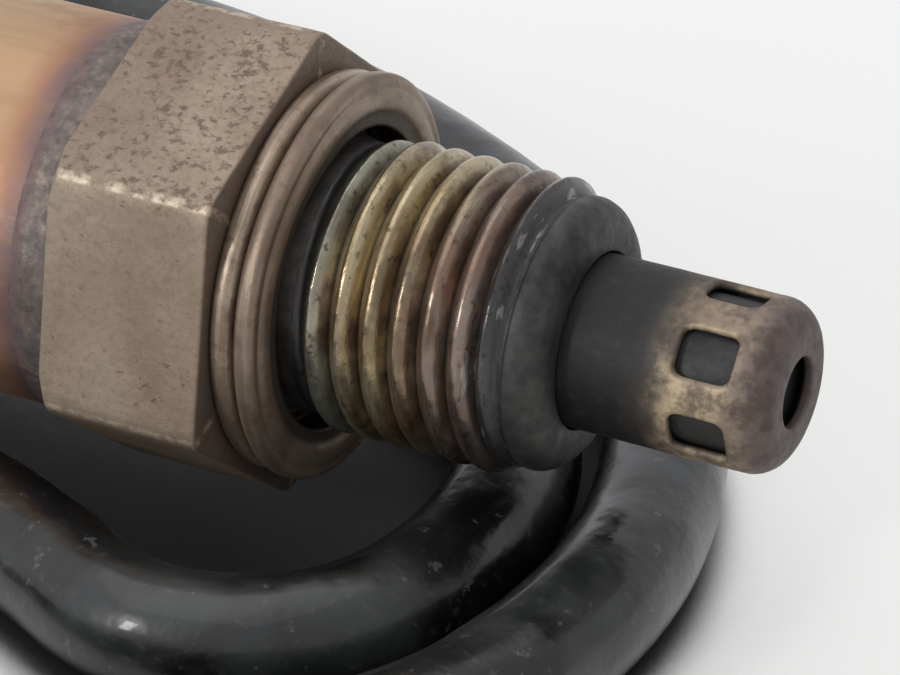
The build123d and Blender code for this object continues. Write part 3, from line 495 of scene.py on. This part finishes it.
class Surface:
    """A material made of procedural nodes. Scales are features per millimetre."""

    def __init__(self, name, **uniform):
        self.material = bpy.data.materials.new(name)
        self.material.use_nodes = True
        self.tree = self.material.node_tree
        self.shader = self.tree.nodes["Principled BSDF"]
        self.place = self.tree.nodes.new("ShaderNodeTexCoord").outputs["Object"]
        for socket, value in uniform.items():
            self.shader.inputs[socket.replace("_", " ")].default_value = value

    def new(self, kind, inputs, **properties):
        """A node; inputs are sockets to link or values to set."""
        node = self.tree.nodes.new(kind)
        for key, value in properties.items():
            setattr(node, key, value)
        for key, value in inputs.items():
            if isinstance(value, bpy.types.NodeSocket):
                self.tree.links.new(value, node.inputs[key])
            elif value is not None:
                node.inputs[key].default_value = value
        return node

    def noise(self, scale, detail=3.0, rough=0.55, stretch=(1, 1, 1), distort=0.0, shift=0.0):
        """Noise about 0.5; stretch multiplies the scale along each axis, shift gives another sample."""
        scaled = tuple(1000 * scale * s for s in stretch)
        spot = self.new("ShaderNodeMapping", {"Vector": self.place, "Scale": scaled, "Location": (shift, shift, shift)})
        return self.new("ShaderNodeTexNoise", {
            "Vector": spot.outputs[0], "Scale": 1.0, "Detail": detail, "Roughness": rough, "Distortion": distort,
        }).outputs["Fac"]

    def math(self, operation, a, b=None):
        return self.new("ShaderNodeMath", {0: a, 1: b}, operation=operation).outputs[0]

    def times(self, a, b):
        return self.math("MULTIPLY", a, b)

    def plus(self, a, b):
        return self.math("ADD", a, b)

    def step(self, value, low, high, to_low=0.0, to_high=1.0):
        """A smooth step: to_low where value is under low, to_high where it is over high."""
        return self.new("ShaderNodeMapRange", {
            "Value": value, "From Min": low, "From Max": high, "To Min": to_low, "To Max": to_high,
        }, interpolation_type="SMOOTHSTEP").outputs[0]

    def line(self, value, low, high, to_low=0.0, to_high=1.0):
        """A straight ramp between the same limits as step, held beyond them."""
        return self.new("ShaderNodeMapRange", {
            "Value": value, "From Min": low, "From Max": high, "To Min": to_low, "To Max": to_high,
        }).outputs[0]

    def ramp(self, value, stops):
        """Colours along value, from stops of (place, colour)."""
        node = self.new("ShaderNodeValToRGB", {"Fac": value})
        ramp = node.color_ramp
        while len(ramp.elements) < len(stops):
            ramp.elements.new(0.5)
        for element, (position, colour) in zip(ramp.elements, stops):
            element.position = position
            element.color = colour
        return node.outputs["Color"]

    def mix(self, amount, a, b):
        """Colour a where amount is 0, b where it is 1."""
        node = self.new("ShaderNodeMix", {0: amount}, data_type="RGBA")
        for index, value in ((6, a), (7, b)):
            if isinstance(value, bpy.types.NodeSocket):
                self.tree.links.new(value, node.inputs[index])
            else:
                node.inputs[index].default_value = value
        return node.outputs[2]

    def axis(self, name):
        """X, Y or Z of the place, in millimetres."""
        split = self.new("ShaderNodeSeparateXYZ", {0: self.place})
        return self.times(split.outputs[name], 1000.0)

    def radius(self):
        """Distance from the sensor's axis, in millimetres."""
        y, z = self.axis("Y"), self.axis("Z")
        return self.math("SQRT", self.plus(self.times(y, y), self.times(z, z)))

    def facing(self, direction):
        """How far the surface faces direction, -1 to 1."""
        normal = self.tree.nodes.new("ShaderNodeNewGeometry").outputs["Normal"]
        node = self.new("ShaderNodeVectorMath", {0: normal, 1: direction}, operation="DOT_PRODUCT")
        return node.outputs["Value"]

    def corner(self):
        """1 on the hexagon's corner edges, falling to 0 on its flats."""
        roll = self.math("ARCTAN2", self.times(self.axis("Y"), -1.0), self.axis("Z"))
        turn = self.plus(self.times(roll, 180 / pi), 360.0 - HEX_ROLL)
        return self.math("COSINE", self.times(turn, 6 * pi / 180))

    def colour(self, value):
        self.tree.links.new(value, self.shader.inputs["Base Color"])

    def roughness(self, value):
        self.tree.links.new(value, self.shader.inputs["Roughness"])

    def bump(self, *layers):
        """Layers of (height, distance in millimetres)."""
        normal = None
        for height, distance in layers:
            node = self.new("ShaderNodeBump", {"Height": height, "Distance": distance * MM, "Strength": 1.0})
            if normal is not None:
                self.tree.links.new(normal, node.inputs["Normal"])
            normal = node.outputs["Normal"]
        self.tree.links.new(normal, self.shader.inputs["Normal"])


def hexagon_steel():
    """Brown, dry steel: pitted above, with pale worn corners and painted shade on the front face."""
    m = Surface("hexagon_steel", Metallic=0.4)
    grain = m.noise(3.0, 5, 0.7)
    base = m.ramp(m.noise(0.25, 4, 0.6), [
        (0.3, srgb(136, 118, 101)), (0.5, srgb(148, 130, 112)), (0.7, srgb(160, 144, 126)),
    ])
    base = m.mix(m.step(grain, 0.42, 0.75, 0.0, 0.4), base, srgb(106, 88, 74))
    upper = m.step(m.facing((0, -0.344, 0.939)), 0.7, 0.95, 0.0, 1.0)
    cluster = m.times(m.math("SUBTRACT", m.noise(0.35, 3, 0.5, shift=3.0), 0.5), 0.35)
    speck = m.plus(m.noise(3.2, 4, 0.62, stretch=(0.8, 1, 1), distort=0.2), cluster)
    pits = m.step(m.plus(speck, m.line(upper, 0, 1, -0.09, 0.0)), 0.52, 0.68)
    base = m.mix(m.times(pits, 0.72), base, srgb(86, 64, 54))
    rear = m.step(m.axis("X"), -1.5, -6.9, 0.0, 0.35)
    base = m.mix(m.times(upper, rear), base, srgb(104, 84, 70))
    rust = m.step(m.noise(1.3, 3, 0.6, shift=4.0), 0.64, 0.7, 0.0, 0.4)
    base = m.mix(rust, base, srgb(126, 84, 62))
    # painted shade: the hexagon's front face, towards the tip, is darkened as if it lay in shadow
    front = m.step(m.facing((1, 0, 0)), 0.5, 0.95, 0.0, 0.6)
    base = m.mix(front, base, srgb(88, 72, 64))
    edge = m.times(m.step(m.corner(), 0.987, 0.999), m.step(m.noise(1.6, 4, 0.65, shift=7.0), 0.42, 0.6))
    base = m.mix(m.times(edge, 0.6), base, srgb(206, 190, 168))
    m.colour(base)
    m.roughness(m.math("SUBTRACT", m.line(grain, 0.3, 0.7, 0.46, 0.62), m.times(edge, 0.15)))
    m.bump((m.math("SUBTRACT", grain, m.times(pits, 0.6)), 0.03), (m.noise(0.5, 3), 0.06))
    return m.material


def weld_band():
    """The collar and its weld's bead: grey, rough and mottled."""
    m = Surface("weld_band", Metallic=0.5)
    grain = m.noise(1.8, 6, 0.7)
    base = m.ramp(grain, [
        (0.3, srgb(82, 74, 72)), (0.46, srgb(102, 92, 87)), (0.6, srgb(120, 108, 101)), (0.78, srgb(158, 146, 134)),
    ])
    seam = m.step(m.axis("X"), -8.45, -8.1)
    bead = m.mix(m.line(grain, 0.3, 0.7), srgb(92, 78, 80), srgb(122, 102, 96))
    base = m.mix(m.math("SUBTRACT", 1.0, seam), base, bead)
    base = m.mix(m.step(m.noise(0.5, 3, 0.5, shift=2.0), 0.54, 0.7, 0.0, 0.3), base, srgb(96, 94, 98))
    m.colour(base)
    m.roughness(m.line(grain, 0.3, 0.7, 0.6, 0.4))
    m.bump((m.times(grain, m.line(seam, 0, 1, 0.3, 1.0)), 0.045))
    return m.material


def thread_tint():
    """Heat-tinted thread: pale, then gold, then brown towards the tip, darker in the roots, with soot at both ends."""
    m = Surface("thread_tint", Metallic=0.78)
    x, radius = m.axis("X"), m.radius()
    streak = m.noise(1.0, 4, 0.6, stretch=(2.4, 0.16, 0.16))
    blotch = m.noise(0.16, 3, 0.5, stretch=(1.2, 1, 1))
    gold = m.ramp(streak, [
        (0.3, srgb(128, 110, 80)), (0.44, srgb(158, 140, 106)), (0.58, srgb(186, 172, 140)), (0.74, srgb(146, 126, 98)),
    ])
    dark = m.ramp(streak, [(0.3, srgb(98, 84, 78)), (0.56, srgb(134, 118, 108)), (0.76, srgb(170, 158, 146))])
    drift = m.plus(x, m.times(m.math("SUBTRACT", blotch, 0.5), 3.0))
    base = m.mix(m.step(drift, 6.4, 8.8), gold, dark)
    base = m.mix(m.step(drift, 4.6, 3.2, 0.0, 0.7), base, srgb(158, 164, 152))
    base = m.mix(m.step(m.noise(0.3, 3, 0.5, shift=5.0), 0.5, 0.66, 0.0, 0.45), base, srgb(138, 106, 86))
    patina = m.step(m.noise(0.42, 4, 0.6, stretch=(1.6, 0.8, 0.8), shift=11.0), 0.47, 0.62)
    base = m.mix(m.times(patina, 0.55), base, srgb(80, 64, 50))
    flank = m.step(radius, 5.5, 5.8, 1.0, 0.0)
    soil = m.step(m.noise(0.55, 4, 0.6, shift=6.0), 0.4, 0.64, 0.1, 0.6)
    base = m.mix(m.times(flank, soil), base, srgb(84, 70, 58))
    # darker in the thread's roots
    deep = m.step(radius, 5.25, 5.45, 1.0, 0.0)
    base = m.mix(m.times(deep, 0.6), base, srgb(48, 39, 33))
    base = m.mix(m.math("MAXIMUM", m.step(x, 9.4, 10.6), m.step(x, 3.0, 2.4)), base, srgb(78, 76, 76))
    grime = m.noise(2.8, 5, 0.7, stretch=(1, 0.6, 0.6))
    base = m.mix(m.step(grime, 0.56, 0.68, 0.0, 0.7), base, srgb(50, 44, 40))
    scratch = m.step(m.noise(2.0, 4, 0.6, stretch=(1.5, 0.25, 0.25), shift=9.0), 0.58, 0.66)
    last_crest = m.step(x, 9.3, 9.8)
    base = m.mix(m.times(m.times(scratch, last_crest), 0.5), base, srgb(176, 172, 166))
    m.colour(base)
    wear = m.times(flank, 0.16)
    polish = m.line(streak, 0.3, 0.75, 0.14, 0.32)
    m.roughness(m.plus(polish, m.plus(wear, m.times(deep, 0.15))))
    m.bump((m.plus(streak, m.times(grime, 0.6)), 0.04), (m.noise(1.1, 3, 0.5), 0.04))
    return m.material


def gasket_steel():
    """Rubbed brown steel with streaks along the folds, and painted shade on the rim round the bore."""
    m = Surface("gasket_steel", Metallic=0.6)
    streak = m.noise(1.0, 4, 0.6, stretch=(3.0, 0.13, 0.13))
    base = m.ramp(streak, [(0.3, srgb(120, 102, 88)), (0.5, srgb(152, 133, 115)), (0.72, srgb(184, 168, 150))])
    base = m.mix(m.step(m.noise(0.4, 4, 0.6), 0.5, 0.66, 0.0, 0.5), base, srgb(104, 84, 70))
    scuff = m.noise(2.2, 5, 0.7)
    base = m.mix(m.step(scuff, 0.54, 0.68, 0.0, 0.55), base, srgb(92, 76, 66))
    base = m.mix(m.step(m.axis("X"), 1.3, 1.5, 0.0, 0.4), base, srgb(100, 84, 72))
    # painted shade: the rim nearest the bore is darkened as if in shadow
    inner = m.step(m.radius(), 6.9, 6.5)
    base = m.mix(m.times(inner, 0.8), base, srgb(56, 51, 48))
    m.colour(base)
    m.roughness(m.plus(m.line(streak, 0.3, 0.7, 0.5, 0.34), m.times(inner, 0.15)))
    m.bump((streak, 0.03), (scuff, 0.035))
    return m.material


def sleeve_steel():
    """Drawn steel, gold-brown near the weld and bare at the rear."""
    m = Surface("sleeve_steel", Metallic=0.7)
    x = m.axis("X")
    wave = m.times(m.math("SUBTRACT", m.noise(0.25, 3, 0.6, stretch=(1, 0.5, 0.5)), 0.5), 1.2)
    along = m.line(m.plus(x, wave), -14.0, -8.6)
    tint = m.ramp(along, [
        (0.0, srgb(182, 153, 122)), (0.62, srgb(180, 146, 113)), (0.78, srgb(162, 122, 98)),
        (0.88, srgb(134, 104, 98)), (1.0, srgb(104, 92, 92)),
    ])
    drawn = m.noise(1.0, 4, 0.6, stretch=(0.1, 1.4, 1.4))
    tint = m.mix(m.step(drawn, 0.4, 0.75, 0.0, 0.3), tint, srgb(150, 118, 90))
    stain = m.noise(0.35, 5, 0.6)
    tint = m.mix(m.step(stain, 0.54, 0.68, 0.0, 0.4), tint, srgb(148, 110, 84))
    tint = m.mix(m.step(x, -24.0, -36.0, 0.0, 0.8), tint, srgb(186, 180, 170))
    m.colour(tint)
    m.roughness(m.line(stain, 0.3, 0.7, 0.42, 0.56))
    m.bump((drawn, 0.012), (m.noise(2.0, 4), 0.015))
    return m.material


def protector_steel():
    """Sooted tube with a pale deposit round the windows and a brown dome."""
    m = Surface("protector_steel", Metallic=0.35)
    x = m.axis("X")
    broad = m.noise(0.35, 4, 0.6)
    fine = m.noise(2.0, 5, 0.65)
    along = m.line(m.plus(x, m.times(m.math("SUBTRACT", broad, 0.5), 1.8)), 12.6, 21.1)
    base = m.ramp(along, [
        (0.0, srgb(24, 25, 26)), (0.3, srgb(32, 32, 33)), (0.46, srgb(60, 54, 49)),
        (0.62, srgb(120, 104, 88)), (0.8, srgb(128, 112, 99)), (0.92, srgb(108, 95, 90)), (1.0, srgb(96, 85, 82)),
    ])
    near_window = m.step(m.math("ABSOLUTE", m.math("SUBTRACT", x, 18.2)), 2.4, 0.8)
    low_side = m.step(m.facing((0, -0.97, -0.24)), 0.3, 0.95, 0.35, 1.0)
    patch = m.step(m.noise(0.8, 5, 0.65, shift=2.0), 0.4, 0.62, 0.15, 1.0)
    deposit = m.times(m.times(near_window, patch), low_side)
    base = m.mix(deposit, base, srgb(190, 170, 140))
    burnt = m.times(m.step(m.noise(0.9, 4, 0.6, shift=8.0), 0.45, 0.64, 0.0, 0.7), m.step(along, 0.38, 0.6))
    base = m.mix(burnt, base, srgb(74, 62, 57))
    base = m.mix(m.step(fine, 0.54, 0.7, 0.0, 0.45), base, srgb(66, 56, 50))
    inside = m.times(m.step(m.radius(), 3.3, 3.1), m.step(x, 20.1, 19.7))
    base = m.mix(inside, base, srgb(30, 29, 29))
    m.colour(base)
    m.roughness(m.line(fine, 0.3, 0.7, 0.5, 0.66))
    m.bump((fine, 0.02), (broad, 0.04))
    return m.material


def sooted(name, dark, light):
    """Steel under soot, between two greys."""
    m = Surface(name, Metallic=0.3)
    grime, broad = m.noise(1.4, 5, 0.65), m.noise(0.3, 3, 0.5)
    drift = m.plus(m.times(grime, 0.5), m.times(broad, 0.5))
    m.colour(m.ramp(drift, [(0.36, dark), (0.64, light)]))
    m.roughness(m.line(grime, 0.3, 0.7, 0.66, 0.48))
    m.bump((grime, 0.04))
    return m.material


def plain_grain(name, dark, light, metallic=0.0, rough=(0.45, 0.6), scale=1.5):
    """Moulded, fired or plated stuff: a fine grain with a slow drift of shade."""
    m = Surface(name, Metallic=metallic)
    grain = m.noise(scale, 4, 0.6)
    slow = m.noise(scale / 8, 3, 0.5)
    m.colour(m.mix(m.line(slow, 0.3, 0.7), dark, m.mix(m.line(grain, 0.3, 0.7), dark, light)))
    m.roughness(m.line(grain, 0.3, 0.7, *rough))
    m.bump((grain, 0.02))
    return m.material


def cable_gloss():
    """Glossy black tubing, smeared, dusty and creased."""
    m = Surface("cable_gloss", Metallic=0.0, Coat_Weight=0.25, Coat_Roughness=0.08)
    smear, dust = m.noise(0.18, 3, 0.5), m.noise(1.6, 5, 0.7)
    base = m.mix(m.step(smear, 0.42, 0.66), srgb(17, 18, 19), srgb(44, 46, 46))
    base = m.mix(m.step(dust, 0.56, 0.72, 0.0, 0.3), base, srgb(88, 86, 82))
    scuff = m.step(m.noise(0.9, 4, 0.65, shift=5.0), 0.64, 0.7)
    base = m.mix(m.times(scuff, 0.3), base, srgb(120, 121, 120))
    m.colour(base)
    m.roughness(m.line(smear, 0.3, 0.7, 0.2, 0.42))
    m.bump((m.noise(0.12, 2, 0.4, shift=3.0), 0.9), (m.noise(0.42, 3, 0.5, shift=4.0), 0.14), (dust, 0.006))
    return m.material


def dress(obj, *materials):
    """Gives a piece these materials in place of those it has."""
    obj.data.materials.clear()
    for material in materials:
        obj.data.materials.append(material)


def zones(obj, limits):
    """Gives each face the material of its zone: the first up to the first limit in X, in mm, and so on."""
    for face in obj.data.polygons:
        x = face.center.x / MM
        face.material_index = sum(x > limit for limit in limits)


relief_soot = sooted("relief_soot", srgb(38, 35, 34), srgb(92, 86, 80))
nose_soot = sooted("nose_soot", srgb(30, 30, 32), srgb(72, 70, 67))
RELIEF_END = 2.2
dress(shell, weld_band(), hexagon_steel(), relief_soot, thread_tint(), nose_soot)
zones(shell, (-HEX_LENGTH - 0.01, 0.01, RELIEF_END, THREAD_TO - 0.05))
dress(cable, cable_gloss())
dress(nodes["rear_sleeve"], sleeve_steel())
dress(gasket, gasket_steel())
dress(protector, protector_steel())
dress(inner_tube, sooted("inner_protector_soot", srgb(38, 38, 38), srgb(62, 60, 58)))
ceramic = plain_grain("fired_ceramic", srgb(206, 200, 188), srgb(232, 228, 218))
steel = plain_grain("plain_steel", srgb(120, 116, 110), srgb(168, 164, 158), 0.9, (0.3, 0.45))
contact = plain_grain("contact_metal", srgb(168, 160, 146), srgb(206, 200, 188), 0.95, (0.22, 0.34))
rubber = plain_grain("grommet_rubber", srgb(28, 28, 28), srgb(46, 45, 44), 0.0, (0.55, 0.7))
insulation = plain_grain("wire_insulation", srgb(30, 30, 32), srgb(48, 48, 50), 0.0, (0.35, 0.45))
housing = plain_grain("housing_plastic", srgb(26, 27, 29), srgb(44, 45, 48), 0.0, (0.42, 0.56), 3.0)
seal = plain_grain("seal_rubber", srgb(118, 46, 30), srgb(142, 62, 42), 0.0, (0.4, 0.55))
lock = plain_grain("lock_plastic", srgb(136, 136, 132), srgb(160, 160, 156), 0.0, (0.4, 0.5), 3.0)
for material, names in (
    (ceramic, ("sensing_element", "front_ceramic", "talc_ring", "rear_ceramic", "contact_holder")),
    (steel, ("press_ring", "holder_spring")),
    (contact, ("contact_terminals", "connector_terminals")),
    (insulation, ("sensor_wires", "connector_wires")),
    (seal, ("wire_seals", "face_seal")),
    (rubber, ("grommet", "cable_cap")),
    (housing, ("connector_housing",)),
    (lock, ("front_lock",)),
):
    for name in names:
        dress(nodes[name], material)

# ---------------------------------------------------------------- stage, light, world
FLOOR_HALF = 3.0  # metres
FLOOR_SHADE_REACH = 0.03  # metres, how near the object darkens the floor
FLOOR_GLOW = 0.47
floor_mesh = bpy.data.meshes.new("floor")
floor_corners = [(x * FLOOR_HALF, y * FLOOR_HALF, FLOOR_Z * MM) for x, y in ((-1, -1), (1, -1), (1, 1), (-1, 1))]
floor_mesh.from_pydata(floor_corners, [], [(0, 1, 2, 3)])
floor = add_object("floor", floor_mesh)
# Lit floor is a pale background to camera and reflected rays; close under the object it stays dark to all.
paper = Surface("floor", Roughness=0.7, Emission_Color=srgb(250, 251, 248))
seen = paper.tree.nodes.new("ShaderNodeLightPath").outputs
shown = paper.math("MAXIMUM", seen["Is Camera Ray"], seen["Is Glossy Ray"])
shown = paper.math("MAXIMUM", shown, seen["Is Transmission Ray"])
open_sky = paper.new("ShaderNodeAmbientOcclusion", {"Distance": FLOOR_SHADE_REACH}, samples=20).outputs["AO"]
lit = paper.step(open_sky, 0.37, 0.6)
seen_paper = paper.mix(lit, srgb(38, 38, 41), srgb(170, 170, 168))
unseen_paper = paper.mix(lit, srgb(60, 60, 62), srgb(154, 154, 152))
paper.colour(paper.mix(shown, unseen_paper, seen_paper))
glow = paper.times(paper.times(shown, lit), FLOOR_GLOW)
paper.tree.links.new(glow, paper.shader.inputs["Emission Strength"])
dress(floor, paper.material)

world = bpy.data.worlds.new("studio")
scene.world = world
world.use_nodes = True
sky = world.node_tree
direction = sky.nodes.new("ShaderNodeSeparateXYZ")
sky.links.new(sky.nodes.new("ShaderNodeTexCoord").outputs["Generated"], direction.inputs[0])
level = sky.nodes.new("ShaderNodeMapRange")  # strength 1 behind the sensor, 0.6 on the tip's side
level.inputs["From Min"].default_value = -1.0
level.inputs["To Min"].default_value = 1.0
level.inputs["To Max"].default_value = 0.6
sky.links.new(direction.outputs["X"], level.inputs["Value"])
sky.links.new(level.outputs[0], sky.nodes["Background"].inputs["Strength"])
sky.nodes["Background"].inputs["Color"].default_value = (0.96, 0.97, 1.0, 1)


def softbox(name, place, size, power):
    """A rectangular lamp at place, in metres, facing the origin; power is in watts."""
    lamp = bpy.data.lights.new(name, "AREA")
    lamp.shape = "RECTANGLE"
    lamp.size, lamp.size_y = size
    lamp.energy = power
    obj = bpy.data.objects.new(name, lamp)
    scene.collection.objects.link(obj)
    obj.location = place
    obj.rotation_euler = (Vector((0, 0, 0)) - Vector(place)).to_track_quat("-Z", "Y").to_euler()


softbox("key_light", (-0.1, 0.0, 0.6), (0.7, 0.6), 1.1)
softbox("glint_light", (-0.205, -0.4, 0.22), (0.05, 0.12), 0.65)
